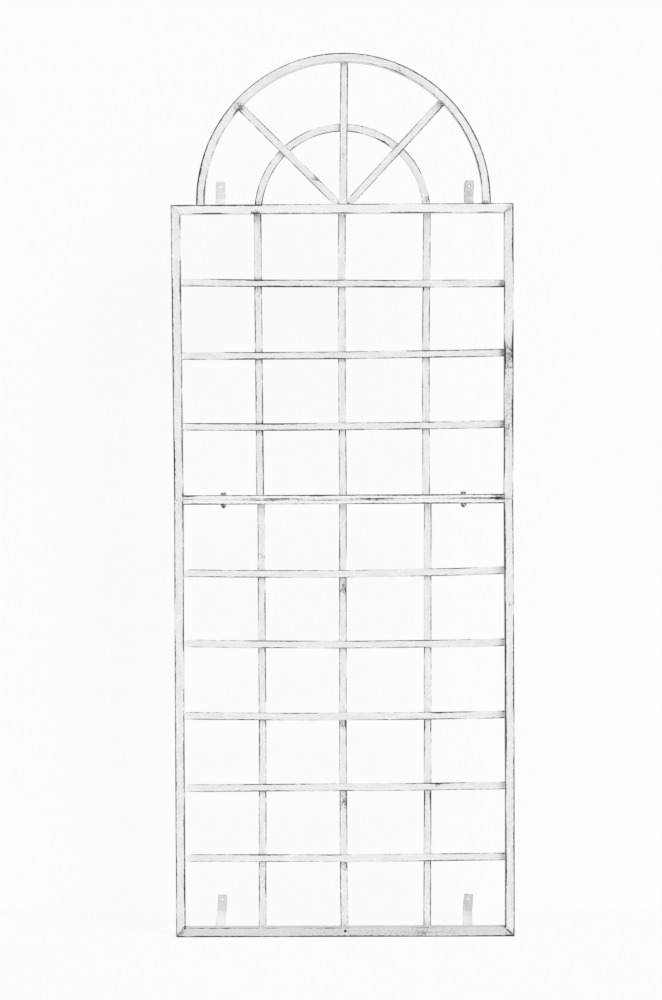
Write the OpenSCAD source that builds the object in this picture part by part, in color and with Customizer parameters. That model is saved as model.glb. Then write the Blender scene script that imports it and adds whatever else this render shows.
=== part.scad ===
// Espalier frame: a wall trellis of welded steel in two bolted sections, with an arched fanlight top.
// Origin: middle of the bottom rail's underside. +X to the right seen from the front, +Y to the wall, +Z up.

/* [Frame] */
// Width across the two stiles
frame_w = 740; // [560:1:1000]
// Height of the lower section, from the ground to the seam
lower_h = 958; // [600:1:1400]
// Height of the upper section's rectangle, from the seam to the top of the top rail
upper_h = 638; // [400:1:1000]
// Side of the square frame tube
tube_w = 20; // [17:0.5:30]
// Wall of the square and rectangular tubes
tube_wall = 1.5; // [1:0.1:2.5]
// Height of each of the two rails that meet at the seam
joint_rail_h = 10; // [7:0.5:20]
// Diameter of the drain hole in the front of the bottom rail
drain_d = 6; // [3:0.5:9]
// Distance of the drain hole's centre below the top of the bottom rail
drain_drop = 7; // [6:0.5:9]

/* [Grid] */
// Width of the flat bars
bar_w = 16; // [10:0.5:24]
// Thickness of the flat bars
bar_t = 4; // [3:0.25:4.25]

/* [Arches] */
// Distance of the arches' middle to the right of the frame's middle
arch_shift = 3; // [-15:0.5:15]
// Distance of the outer arch's feet in from the outer faces of the stiles
arch_inset = 52; // [20:1:70]
// Width of the outer arch's square tube
arch_tube_w = 18; // [10:0.5:20]
// Height of the straight legs below the outer arch's half circle
arch_leg = 6; // [2:0.5:60]
// Depth of the spokes' common centre below the top of the top rail
hub_drop = 10; // [4:0.5:18]
// Depth of the inner arch's centre below the top of the top rail
inner_arch_drop = 14; // [4:0.5:40]
// Lean of the left spoke from upright, in degrees
left_spoke_lean = 45; // [35:0.5:55]
// Lean of the right spoke from upright, in degrees
right_spoke_lean = 43; // [35:0.5:55]
// Gap left for the weld at the curved ends of the spokes
weld_gap = 0.2; // [0.1:0.05:0.5]

/* [Wall brackets] */
// Distance of each bracket's middle from the inner face of its stile
bracket_inset = 78; // [40:1:85]
// Distance of the top brackets' middle to the right of the frame's middle
bracket_shift = 5; // [-15:0.5:15]
// Width of the bracket strap
strap_w = 20; // [12:0.5:30]
// Thickness of the bracket strap
strap_t = 3; // [2:0.25:5]
// Distance of the wall behind the back of the frame
wall_gap = 45; // [30:1:90]
// Slope of the bracket's arm above the level, in degrees
arm_slope = 25; // [10:1:60]
// Inside radius of the two bends
bend_r = 3; // [1:0.5:8]
// Distance of the lower bend below the top of the rail
bend_drop = 5; // [2:0.5:10]
// Distance of the foot's end above the underside of the rail
foot_edge = 1; // [0:0.5:4]
// Height of the upright tab above the upper bend
tab_h = 37; // [24:1:70]
// Diameter of the screw hole in the tab
screw_hole_d = 6; // [4:0.5:9]
// Distance of the screw hole below the tip of the tab
screw_hole_edge = 11; // [7:0.5:16]

/* [Bolts] */
// Distance of each bolt from the inner face of its stile
bolt_inset = 89; // [40:1:95]
// Thread diameter of the bolts
bolt_d = 6; // [4:0.5:8]
// Width of the bolt head across its flats
head_af = 10; // [9:0.5:14]
// Height of the bolt head
head_h = 4; // [3:0.5:6]
// Width of the nut across its flats
nut_af = 10; // [10:0.5:14]
// Height of the nut
nut_h = 5; // [3:0.5:8]
// Outer diameter of the washers
washer_d = 12; // [10:0.5:18]
// Thickness of the washers
washer_t = 1.6; // [1:0.1:3]
// Length of thread that shows past the nut
thread_out = 1.8; // [1:0.1:8]
// Radial room around the bolt in the rails and washers
bolt_room = 0.3; // [0.15:0.05:0.5]
// Radial room between the bolt's thread and the nut
thread_room = 0.05; // [0.02:0.01:0.1]

/* [Hidden] */

PAINT = "WhiteSmoke";
STEEL = "DimGray";
LEFT = -1;
RIGHT = 1;
// Overshoot that keeps a cut clear of the face that it passes
over = 1;
$fn = 96;

// Heights of the main lines
seam_z = lower_h;
top_z = lower_h + upper_h;
hub_z = top_z - hub_drop;
inner_arch_z = top_z - inner_arch_drop;
arch_z = top_z + arch_leg;

// Half width across the stiles, outside and inside
half_w = frame_w / 2;
half_in = half_w - tube_w;

// Upright bars stand at an even pitch from stile to stile, and cross bars part the height into even openings
columns = 4;
upper_rows = 4;
lower_rows = 6;
column_pitch = (frame_w - tube_w) / columns;
upper_row_pitch = even_pitch(upper_h - joint_rail_h - tube_w, upper_rows);
lower_row_pitch = even_pitch(lower_h - joint_rail_h - tube_w, lower_rows);

// Layers of flat bar from front to back: cross bars and spokes, then upright bars and inner arch
front_layer = [0, bar_t];
back_layer = [bar_t, 2 * bar_t];

// Outer arch
arch_r = half_w - arch_inset;
arch_in_r = arch_r - arch_tube_w;

// Bolts
bolt_x = half_in - bolt_inset;
bolt_hole_d = bolt_d + 2 * bolt_room;
bolt_l = 2 * joint_rail_h + 2 * washer_t + nut_h + thread_out;

// Brackets: the arm leaves the foot's upright line by its bend angle and spans the gap to the wall
bracket_x = half_in - bracket_inset;
bend_angle = 90 - arm_slope;
bend_mid_r = bend_r + strap_t / 2;
bend_steps = 8;
tab_front = wall_gap - strap_t;
arm_l = (tab_front - 2 * bend_mid_r * (1 - cos(bend_angle))) / sin(bend_angle);
foot_l = tube_w - bend_drop - foot_edge;
// Height from the lower bend to the foot of the tab
tab_foot = 2 * bend_mid_r * sin(bend_angle) + arm_l * cos(bend_angle);

// Pitch of the cross bars that part a height into that many even openings
function even_pitch(height, openings) = (height + bar_w) / openings;

// A plate from y0 to y1, drawn as an outline in X and Z
module upright(y0, y1) {
  translate([0, y1, 0])
    rotate([90, 0, 0])
      linear_extrude(y1 - y0)
        children();
}

// A box given by its lowest and highest corners
module block(low, high) {
  translate(low)
    cube(high - low);
}

// Stile from the square end at the seam to the mitred end at end_z
module stile(side, end_z) {
  up = sign(end_z - seam_z);
  mid_x = side * (half_w - tube_w / 2);
  bore = tube_w / 2 - tube_wall;
  difference() {
    upright(-tube_w / 2, tube_w / 2)
      polygon([
        [side * half_w, seam_z],
        [side * half_in, seam_z],
        [side * half_in, end_z - up * tube_w],
        [side * half_w, end_z]
      ]);
    block(
      [mid_x - bore, -bore, min(seam_z, end_z) - over],
      [mid_x + bore, bore, max(seam_z, end_z) + over]
    );
  }
}

// Rail with mitred ends: outer_z is its outer face, inward is the way to the panel's middle
module mitred_rail(outer_z, inward) {
  inner_z = outer_z + inward * tube_w;
  mid_z = (outer_z + inner_z) / 2;
  bore = tube_w / 2 - tube_wall;
  difference() {
    upright(-tube_w / 2, tube_w / 2)
      polygon([[-half_w, outer_z], [half_w, outer_z], [half_in, inner_z], [-half_in, inner_z]]);
    block([-half_w - over, -bore, mid_z - bore], [half_w + over, bore, mid_z + bore]);
  }
}

// Joint rail between the stiles, from z up, drilled for the two bolts
module joint_rail(z) {
  bore_y = tube_w / 2 - tube_wall;
  difference() {
    block([-half_in, -tube_w / 2, z], [half_in, tube_w / 2, z + joint_rail_h]);
    block([-half_in - over, -bore_y, z + tube_wall], [half_in + over, bore_y, z + joint_rail_h - tube_wall]);
    for (side = [LEFT, RIGHT])
      translate([side * bolt_x, 0, z - over])
        cylinder(d = bolt_hole_d, h = joint_rail_h + 2 * over);
  }
}

// Upright flat bar in the given column, counted from the middle
module upright_bar(column, z0, z1) {
  x = column * column_pitch;
  block([x - bar_w / 2, back_layer[0], z0], [x + bar_w / 2, back_layer[1], z1]);
}

// Cross bar between the stiles, with its middle at z
module cross_bar(z) {
  block([-half_in, front_layer[0], z - bar_w / 2], [half_in, front_layer[1], z + bar_w / 2]);
}

// Outline of a half disc on straight legs, with its centre at the arch's centre
module arch_outline(r, leg) {
  intersection() {
    circle(r);
    translate([-r, 0])
      square([2 * r, r]);
  }
  translate([-r, -leg])
    square([2 * r, leg]);
}

// Band of the given width inside an arch's outline of radius r
module arch_band(r, width) {
  difference() {
    arch_outline(r, arch_leg);
    arch_outline(r - width, arch_leg + over);
  }
}

// Half plane above the top rail
module above_top_rail() {
  translate([-frame_w, top_z])
    square([2 * frame_w, frame_w]);
}

// Outline of a flat spoke from the hub to the outer arch, leaning to the right by lean degrees
module spoke_outline(lean) {
  intersection() {
    translate([arch_shift, hub_z])
      rotate(-lean)
        translate([-bar_w / 2, 0])
          square([bar_w, frame_w]);
    translate([arch_shift, arch_z])
      circle(arch_in_r - weld_gap);
    above_top_rail();
  }
}

// Leaning spoke, cut off along the side of the centre spoke
module leaning_spoke(lean) {
  side = sign(lean);
  upright(front_layer[0], front_layer[1])
    difference() {
      spoke_outline(lean);
      translate([arch_shift + side * (bar_w / 2 - frame_w / 2), top_z])
        square(frame_w, center = true);
    }
}

// Points of an arc about a centre, from angle a0 to angle a1
function arc(centre, r, a0, a1) = [
  for (i = [0:bend_steps])
    let (a = a0 + (a1 - a0) * i / bend_steps)
      centre + r * [cos(a), sin(a)]
];

// Side view of the bent strap in Y and Z: up its front from the foot to the tip, then down its back
module strap_side() {
  lower_pivot = [strap_t + bend_r, 0];
  upper_pivot = [tab_front - bend_r, tab_foot];
  outer_r = bend_r + strap_t;
  turned = 180 - bend_angle;
  polygon(concat(
    [[0, -foot_l]],
    arc(lower_pivot, outer_r, 180, turned),
    arc(upper_pivot, bend_r, -bend_angle, 0),
    [[tab_front, tab_foot + tab_h], [wall_gap, tab_foot + tab_h]],
    arc(upper_pivot, outer_r, 0, -bend_angle),
    arc(lower_pivot, bend_r, turned, 180),
    [[strap_t, -foot_l]]
  ));
}

// Bent wall bracket with its middle at mid_x, on the back of a rail whose top is at rail_z
module wall_bracket(mid_x, rail_z) {
  translate([mid_x, tube_w / 2, rail_z - bend_drop])
    difference() {
      translate([-strap_w / 2, 0, 0])
        rotate([90, 0, 90])
          linear_extrude(strap_w)
            strap_side();
      translate([0, tab_front - over, tab_foot + tab_h - screw_hole_edge])
        rotate([-90, 0, 0])
          cylinder(d = screw_hole_d, h = strap_t + 2 * over);
    }
}

// Hexagonal prism with two flats facing front and back
module hexagon(across_flats, h) {
  cylinder(d = across_flats / cos(30), h = h, $fn = 6);
}

// Ring with a clear bore for the bolt
module washer(side, z) {
  translate([side * bolt_x, 0, z])
    difference() {
      cylinder(d = washer_d, h = washer_t);
      translate([0, 0, -over])
        cylinder(d = bolt_hole_d, h = washer_t + 2 * over);
    }
}

// Bolt that hangs by its head from the washer on the upper joint rail
module bolt(side) {
  seat_z = seam_z + joint_rail_h + washer_t;
  translate([side * bolt_x, 0, seat_z]) {
    hexagon(head_af, head_h);
    translate([0, 0, -bolt_l])
      cylinder(d = bolt_d, h = bolt_l);
  }
}

// Nut drawn up against the washer below the lower joint rail
module nut(side) {
  translate([side * bolt_x, 0, seam_z - joint_rail_h - washer_t - nut_h])
    difference() {
      hexagon(nut_af, nut_h);
      translate([0, 0, -over])
        cylinder(d = bolt_d + 2 * thread_room, h = nut_h + 2 * over);
    }
}

// Upper section
module upper_left_stile() {
  color(PAINT) stile(LEFT, top_z);
}
module upper_right_stile() {
  color(PAINT) stile(RIGHT, top_z);
}
module top_rail() {
  color(PAINT) mitred_rail(top_z, -1);
}
module upper_joint_rail() {
  color(PAINT) joint_rail(seam_z);
}
module upper_bar(column) {
  color(PAINT) upright_bar(column, seam_z + joint_rail_h, top_z - tube_w);
}
// Cross bars of a section are counted from the top down
module upper_cross_bar(row) {
  color(PAINT) cross_bar(top_z - tube_w + bar_w / 2 - row * upper_row_pitch);
}
module outer_arch() {
  color(PAINT)
    translate([arch_shift, 0, arch_z])
      difference() {
        upright(-arch_tube_w / 2, arch_tube_w / 2)
          arch_band(arch_r, arch_tube_w);
        upright(-arch_tube_w / 2 + tube_wall, arch_tube_w / 2 - tube_wall)
          difference() {
            arch_outline(arch_r - tube_wall, arch_leg + over);
            arch_outline(arch_in_r + tube_wall, arch_leg + 2 * over);
          }
      }
}
module inner_arch() {
  color(PAINT)
    upright(back_layer[0], back_layer[1])
      intersection() {
        translate([arch_shift, inner_arch_z])
          difference() {
            circle(column_pitch + bar_w / 2);
            circle(column_pitch - bar_w / 2);
          }
        above_top_rail();
      }
}
module left_spoke() {
  color(PAINT) leaning_spoke(-left_spoke_lean);
}
module centre_spoke() {
  color(PAINT) upright(front_layer[0], front_layer[1]) spoke_outline(0);
}
module right_spoke() {
  color(PAINT) leaning_spoke(right_spoke_lean);
}
module top_left_bracket() {
  color(PAINT) wall_bracket(bracket_shift - bracket_x, top_z);
}
module top_right_bracket() {
  color(PAINT) wall_bracket(bracket_shift + bracket_x, top_z);
}

// Lower section
module lower_left_stile() {
  color(PAINT) stile(LEFT, 0);
}
module lower_right_stile() {
  color(PAINT) stile(RIGHT, 0);
}
module bottom_rail() {
  color(PAINT)
    difference() {
      mitred_rail(0, 1);
      translate([0, -tube_w / 2 - over, tube_w - drain_drop])
        rotate([-90, 0, 0])
          cylinder(d = drain_d, h = tube_wall + 2 * over);
    }
}
module lower_joint_rail() {
  color(PAINT) joint_rail(seam_z - joint_rail_h);
}
module lower_bar(column) {
  color(PAINT) upright_bar(column, tube_w, seam_z - joint_rail_h);
}
module lower_cross_bar(row) {
  color(PAINT) cross_bar(seam_z - joint_rail_h + bar_w / 2 - row * lower_row_pitch);
}
module bottom_left_bracket() {
  color(PAINT) wall_bracket(-bracket_x, tube_w);
}
module bottom_right_bracket() {
  color(PAINT) wall_bracket(bracket_x, tube_w);
}

// Fasteners at the seam
module seam_bolt(side) {
  color(STEEL) bolt(side);
}
module bolt_washer(side) {
  color(STEEL) washer(side, seam_z + joint_rail_h);
}
module nut_washer(side) {
  color(STEEL) washer(side, seam_z - joint_rail_h - washer_t);
}
module seam_nut(side) {
  color(STEEL) nut(side);
}

upper_left_stile();
upper_right_stile();
top_rail();
upper_joint_rail();
upper_bar(-1);  // upper_left_bar
upper_bar(0);  // upper_centre_bar
upper_bar(1);  // upper_right_bar
upper_cross_bar(1);  // upper_cross_bar_1
upper_cross_bar(2);  // upper_cross_bar_2
upper_cross_bar(3);  // upper_cross_bar_3
outer_arch();
inner_arch();
left_spoke();
centre_spoke();
right_spoke();
top_left_bracket();
top_right_bracket();
lower_left_stile();
lower_right_stile();
bottom_rail();
lower_joint_rail();
lower_bar(-1);  // lower_left_bar
lower_bar(0);  // lower_centre_bar
lower_bar(1);  // lower_right_bar
lower_cross_bar(1);  // lower_cross_bar_1
lower_cross_bar(2);  // lower_cross_bar_2
lower_cross_bar(3);  // lower_cross_bar_3
lower_cross_bar(4);  // lower_cross_bar_4
lower_cross_bar(5);  // lower_cross_bar_5
bottom_left_bracket();
bottom_right_bracket();
seam_bolt(LEFT);  // left_bolt
bolt_washer(LEFT);  // left_bolt_washer
nut_washer(LEFT);  // left_nut_washer
seam_nut(LEFT);  // left_nut
seam_bolt(RIGHT);  // right_bolt
bolt_washer(RIGHT);  // right_bolt_washer
nut_washer(RIGHT);  // right_nut_washer
seam_nut(RIGHT);  // right_nut
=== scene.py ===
"""Espalier frame: the dressed part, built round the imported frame."""
from collections import namedtuple
from math import copysign, cos, pi, radians, sin, tan

import bmesh
import bpy
import numpy as np
from mathutils import Matrix, Vector


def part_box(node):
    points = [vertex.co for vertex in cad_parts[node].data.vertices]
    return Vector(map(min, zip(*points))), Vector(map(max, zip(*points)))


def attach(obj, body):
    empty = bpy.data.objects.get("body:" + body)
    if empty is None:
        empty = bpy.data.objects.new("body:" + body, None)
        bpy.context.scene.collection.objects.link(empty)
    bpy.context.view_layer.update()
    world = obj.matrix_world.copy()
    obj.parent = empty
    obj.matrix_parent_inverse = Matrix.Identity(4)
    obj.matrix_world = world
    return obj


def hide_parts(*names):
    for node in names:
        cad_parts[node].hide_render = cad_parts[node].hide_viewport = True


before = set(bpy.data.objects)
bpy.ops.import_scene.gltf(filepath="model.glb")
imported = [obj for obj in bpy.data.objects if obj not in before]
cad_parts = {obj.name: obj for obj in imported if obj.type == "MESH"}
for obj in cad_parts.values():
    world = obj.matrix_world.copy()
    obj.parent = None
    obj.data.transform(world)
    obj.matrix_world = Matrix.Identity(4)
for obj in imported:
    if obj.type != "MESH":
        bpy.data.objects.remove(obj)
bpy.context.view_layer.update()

MM = 0.001
CREASE = radians(40)
UPPER = "upper_panel"
LOWER = "lower_panel"

PANELS = {"upper": UPPER, "lower": LOWER}
CROSS_BARS = {"upper": 3, "lower": 5}
UPRIGHTS = ("left", "centre", "right")


# Places, in mm, taken from the solids

def corners(node):
    lo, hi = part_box(node)
    return np.array(lo) / MM, np.array(hi) / MM


def middle(node):
    lo, hi = corners(node)
    return (lo + hi) / 2


def cross_bars(panel):
    return [f"{panel}_cross_bar_{row}" for row in range(1, CROSS_BARS[panel] + 1)]


STILE_LO, STILE_HI = corners("lower_left_stile")
BAR_LO, BAR_HI = corners("upper_left_bar")
CROSS_LO, CROSS_HI = corners("upper_cross_bar_1")
SEAM = STILE_HI[2]
RAIL_TOP = corners("top_rail")[1][2]
HALF_IN = CROSS_HI[0]
BAR_HALF = (BAR_HI[0] - BAR_LO[0]) / 2
CROSS_FRONT = CROSS_LO[1]
LAP = BAR_LO[1]
BAR_BACK = BAR_HI[1]
TUBE_HALF = (STILE_HI[0] - STILE_LO[0]) / 2
CROSSINGS = [middle(node)[2] for panel in PANELS for node in cross_bars(panel)]
BOLT_X = middle("right_bolt_washer")[0]

# Sizes in mm that the boxes of the solids don't give
TUBE_WALL = 1.5
TUBE_ROUND = 1.2
BAR_ROUND = 0.8
BOLT_HOLE_R = 3.3
HUB_DROP = 10
HUB_Z = RAIL_TOP - HUB_DROP
WELD_GAP = 0.2

# How far the paint is rubbed off each piece's arrises, on its low, left or inner side and on its high, right
# or outer side, and by how many mm a hand-set piece strays from true at its start, middle and end
STRAIGHT = (0, 0, 0)
PIECES = {
    "upper_left_stile": ((0.56, 0.45), (2.6, 1.2, 0.0)),
    "upper_right_stile": ((0.31, 0.44), (-1.7, -0.4, 0.0)),
    "lower_left_stile": ((0.36, 0.47), (0.0, 0.8, 2.6)),
    "lower_right_stile": ((0.46, 0.38), (0.0, 0.3, -1.7)),
    "top_rail": ((0.19, 0.46), STRAIGHT),
    "bottom_rail": ((0.53, 0.10), STRAIGHT),
    "upper_joint_rail": ((0.32, 0.36), STRAIGHT),
    "lower_joint_rail": ((0.42, 0.30), STRAIGHT),
    "upper_left_bar": ((0.39, 0.51), (-1.0, -2.0, -3.4)),
    "upper_centre_bar": ((0.30, 0.25), (-0.5, -1.5, 0.0)),
    "upper_right_bar": ((0.28, 0.31), (0.4, 1.0, 3.8)),
    "upper_cross_bar_1": ((0.42, 0.33), (2.0, -2.4, -4.0)),
    "upper_cross_bar_2": ((0.26, 0.28), (-1.0, -1.2, 2.3)),
    "upper_cross_bar_3": ((0.39, 0.41), (1.2, 0.2, 4.0)),
    "lower_left_bar": ((0.41, 0.32), (-1.4, 0.7, 0.9)),
    "lower_centre_bar": ((0.43, 0.33), (-2.0, -3.0, -1.0)),
    "lower_right_bar": ((0.22, 0.29), (0.0, 2.2, 3.8)),
    "lower_cross_bar_1": ((0.29, 0.21), (-0.4, -3.0, 3.2)),
    "lower_cross_bar_2": ((0.29, 0.22), (3.7, -0.5, 3.2)),
    "lower_cross_bar_3": ((0.25, 0.17), (2.0, -1.0, 2.5)),
    "lower_cross_bar_4": ((0.38, 0.16), (0.0, 0.6, 3.2)),
    "lower_cross_bar_5": ((0.30, 0.28), (3.3, 1.9, 4.5)),
    "outer_arch": ((0.12, 0.55), STRAIGHT),
    "inner_arch": ((0.39, 0.30), (5.0, 0.0, 0.0)),
    "left_spoke": ((0.37, 0.39), STRAIGHT),
    "centre_spoke": ((0.53, 0.45), (0.0, 1.2, 3.2)),
    "right_spoke": ((0.42, 0.50), STRAIGHT),
}

# The wear of the arrises at the back, where it differs from that in front
BACK_WEAR = {
    "bottom_rail": (0.50, 0.42),
    "outer_arch": (0.55, 0.50),
}


# Smooth repeatable irregularity

def scatter(k, seed):
    """A repeatable value from -1 to 1."""
    v = np.sin(k * 127.1 + seed * 311.7) * 43758.5453
    return 2 * (v - np.floor(v)) - 1


def wander(t, seed, step):
    """A smooth value from -1 to 1 along t, with a new one each step."""
    t = np.asarray(t, float) / step
    k = np.floor(t)
    f = t - k
    f = f * f * (3 - 2 * f)
    return (1 - f) * scatter(k, seed) + f * scatter(k + 1, seed)


def stray(node, s):
    """How far a piece strays from true at s, from 0 at its start to 1 at its end."""
    start, mid, end = PIECES[node][1]
    return start * (1 - s) * (1 - 2 * s) + mid * 4 * s * (1 - s) + end * s * (2 * s - 1)


def pinch(panel, side, z):
    """How far the face of a stile stands from true at a height."""
    node = f"{panel}_{side}_stile"
    lo, hi = corners(node)
    return stray(node, (z - lo[2]) / (hi[2] - lo[2]))


def bump_at(v, centre, reach):
    """1 at the centre, falling off smoothly to both sides."""
    return np.exp(-(((v - centre) / reach) ** 2))


def touch(t, place, spot):
    """A touch of wear: spot holds its distance from a place, its reach and its strength."""
    away, reach, strength = spot
    return strength * bump_at(t, place + away, reach)


# Node materials

def put(tree, socket, value):
    if isinstance(value, bpy.types.NodeSocket):
        tree.links.new(value, socket)
    else:
        socket.default_value = value


def make(tree, kind, inputs, **settings):
    """A new node with its inputs and settings."""
    n = tree.nodes.new("ShaderNode" + kind)
    for name, value in settings.items():
        setattr(n, name, value)
    for name, value in inputs.items():
        put(tree, n.inputs[name], value)
    return n


def attribute(tree, name, out="Fac"):
    return make(tree, "Attribute", {}, attribute_name=name).outputs[out]


def calc(tree, op, a, b=0.0, c=0.0):
    return make(tree, "Math", {0: a, 1: b, 2: c}, operation=op).outputs[0]


def noise(tree, vector, stretch, detail=3.0, rough=0.55):
    scaled = make(tree, "VectorMath", {0: vector, 1: stretch}, operation="MULTIPLY").outputs[0]
    inputs = {"Vector": scaled, "Scale": 1.0, "Detail": detail, "Roughness": rough}
    return make(tree, "TexNoise", inputs).outputs["Fac"]


def ramp(tree, value, low, high, out_low=0.0, out_high=1.0):
    inputs = {"Value": value, "From Min": low, "From Max": high, "To Min": out_low, "To Max": out_high}
    return make(tree, "MapRange", inputs, interpolation_type="SMOOTHSTEP").outputs["Result"]


def mix_colour(tree, amount, first, second):
    n = make(tree, "Mix", {"Factor": amount}, data_type="RGBA")
    for socket, value in zip([s for s in n.inputs if s.type == "RGBA"], (first, second)):
        put(tree, socket, value)
    return [o for o in n.outputs if o.type == "RGBA"][0]


def relief(tree, bsdf, height, strength, distance):
    bump = make(tree, "Bump", {"Height": height, "Strength": strength, "Distance": distance})
    put(tree, bsdf.inputs["Normal"], bump.outputs["Normal"])


def seen_directly(tree):
    """1 for rays that show a thing to the camera, 0 for rays that light other things."""
    ray = make(tree, "LightPath", {}).outputs
    seen = calc(tree, "MAXIMUM", ray["Is Camera Ray"], ray["Is Glossy Ray"])
    return calc(tree, "MAXIMUM", seen, ray["Is Transmission Ray"])


def shader(name):
    mat = bpy.data.materials.new(name)
    mat.use_nodes = True
    tree = mat.node_tree
    return mat, tree, tree.nodes["Principled BSDF"]


# Colours, as red, green, blue and alpha
OLD_PAINT = (0.7, 0.7, 0.7, 1)
NEW_PAINT = (0.9, 0.9, 0.898, 1)
DULL_PAINT = (0.45, 0.45, 0.447, 1)
# Dark colour for dirt, and for painted shadow too
DIRT_AND_SHADE = (0.15, 0.147, 0.142, 1)
BLACK_METAL = (0.018, 0.018, 0.018, 1)
WORN_METAL = (0.065, 0.063, 0.061, 1)
STEEL_BLOTCH = (0.07, 0.069, 0.067, 1)
BRIGHT_STEEL = (0.86, 0.86, 0.85, 1)
GREY_STEEL = (0.44, 0.44, 0.43, 1)
STAGE_DARK = (0.86, 0.86, 0.86, 1)
STAGE_LIGHT = (0.9, 0.9, 0.9, 1)

# How wide full rubbing bares an arris, how far the edge of the paint frays, and its sharpness, in mm
RUB_WIDTH = 6.4
FRAY = 3.0
PAINT_EDGE = 0.25
GLOW_SHARE = 0.85


def painted_metal():
    """White paint, brushed on, dusty by the welds and rubbed to dark metal along the arrises.

    Its attributes: path is the place along and across a piece and arris the distance to its nearest
    arris, in mm; rub is the rubbing, one more holds the dirt together with painted shadow, dull how dark and
    fresh how light the paint is.
    """
    mat, tree, bsdf = shader("white_paint_worn")
    path = attribute(tree, "path", "Vector")
    rub = attribute(tree, "rub")
    broken = noise(tree, path, (0.1, 0.3, 0.3), 4.0, 0.7)
    grain = noise(tree, path, (0.45, 0.45, 0.45), 2.0)
    fleck = noise(tree, path, (0.24, 0.36, 0.36), 3.0, 0.7)
    mottle = noise(tree, path, (0.022, 0.06, 0.06), 4.0)
    brush = noise(tree, path, (0.006, 0.5, 0.5), 2.0)

    # Bare metal along the arrises, where the rubbing is enough to break the paint
    width = calc(tree, "MULTIPLY", rub, calc(tree, "MULTIPLY", broken, RUB_WIDTH))
    width = calc(tree, "MULTIPLY_ADD", calc(tree, "SUBTRACT", grain, 0.5), FRAY, width)
    bare = ramp(tree, calc(tree, "SUBTRACT", width, attribute(tree, "arris")), 0.0, PAINT_EDGE)
    rubbed = ramp(tree, calc(tree, "MULTIPLY_ADD", broken, 0.9, rub), 0.45, 0.85)
    bare = calc(tree, "MULTIPLY", bare, rubbed)

    # Dirt in flecks and the pieces' own dirt and painted shadow, mixed towards one dark colour, and lighter
    # and darker brush strokes
    dirt = calc(tree, "ADD", attribute(tree, "dirt_and_shade"), ramp(tree, fleck, 0.36, 0.64, 0.0, 0.9))
    dirt = ramp(tree, dirt, 0.95, 1.4, 0.0, 0.9)
    shade = calc(tree, "MULTIPLY_ADD", brush, 0.2, calc(tree, "MULTIPLY", fleck, 0.5))
    shade = calc(tree, "MULTIPLY_ADD", mottle, 0.3, calc(tree, "ADD", shade, attribute(tree, "fresh")))

    paint = mix_colour(tree, ramp(tree, shade, 0.3, 0.65), OLD_PAINT, NEW_PAINT)
    paint = mix_colour(tree, attribute(tree, "dull"), paint, DULL_PAINT)
    paint = mix_colour(tree, dirt, paint, DIRT_AND_SHADE)
    metal = mix_colour(tree, ramp(tree, fleck, 0.35, 0.7), BLACK_METAL, WORN_METAL)
    tree.links.new(mix_colour(tree, bare, paint, metal), bsdf.inputs["Base Color"])
    rough = calc(tree, "MULTIPLY_ADD", mottle, 0.3, calc(tree, "MULTIPLY_ADD", bare, 0.12, 0.36))
    tree.links.new(rough, bsdf.inputs["Roughness"])
    height = calc(tree, "MULTIPLY_ADD", brush, 0.5, calc(tree, "MULTIPLY", grain, 0.5))
    height = calc(tree, "SUBTRACT", height, calc(tree, "MULTIPLY", bare, 0.6))
    relief(tree, bsdf, height, strength=0.35, distance=0.0004)
    bsdf.inputs["Specular IOR Level"].default_value = 0.4
    return mat


def dark_steel():
    """Dull steel of the fasteners, darker and rougher in blotches. The attribute dull greys it."""
    mat, tree, bsdf = shader("dark_steel_dull")
    path = attribute(tree, "path", "Vector")
    blotch = noise(tree, path, (0.22, 0.22, 0.22), 3.0)
    grain = noise(tree, path, (2.0, 2.0, 2.0), 2.0)
    pale = mix_colour(tree, attribute(tree, "dull"), BRIGHT_STEEL, GREY_STEEL)
    tint = mix_colour(tree, ramp(tree, blotch, 0.44, 0.56), STEEL_BLOTCH, pale)
    tree.links.new(tint, bsdf.inputs["Base Color"])
    tree.links.new(ramp(tree, blotch, 0.3, 0.7, 0.6, 0.38), bsdf.inputs["Roughness"])
    bsdf.inputs["Metallic"].default_value = 0.75
    relief(tree, bsdf, grain, strength=0.3, distance=0.0001)
    return mat


def backdrop(name, open_back):
    """Near white to the camera, with the object's soft shadow still on it; clear from behind if asked."""
    mat, tree, bsdf = shader(name)
    tree.nodes.remove(bsdf)
    place = make(tree, "NewGeometry", {}).outputs
    cloud = noise(tree, place["Position"], (1.5, 1.5, 1.5), 2.0)
    matte = make(tree, "BsdfDiffuse", {0: mix_colour(tree, cloud, STAGE_DARK, STAGE_LIGHT)}).outputs[0]
    glow = make(tree, "Emission", {"Strength": 1.0}).outputs[0]
    share = calc(tree, "MULTIPLY", seen_directly(tree), GLOW_SHARE)
    look = make(tree, "MixShader", {0: share, 1: matte, 2: glow}).outputs[0]
    if open_back:
        clear = make(tree, "BsdfTransparent", {}).outputs[0]
        look = make(tree, "MixShader", {0: place["Backfacing"], 1: look, 2: clear}).outputs[0]
    put(tree, tree.nodes["Material Output"].inputs["Surface"], look)
    return mat


MATERIALS = {"white_paint": painted_metal(), "dark_steel": dark_steel()}


# Marks on the paint, as centre x, centre z, reach in x, reach in z, more rubbing, more dirt

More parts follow.
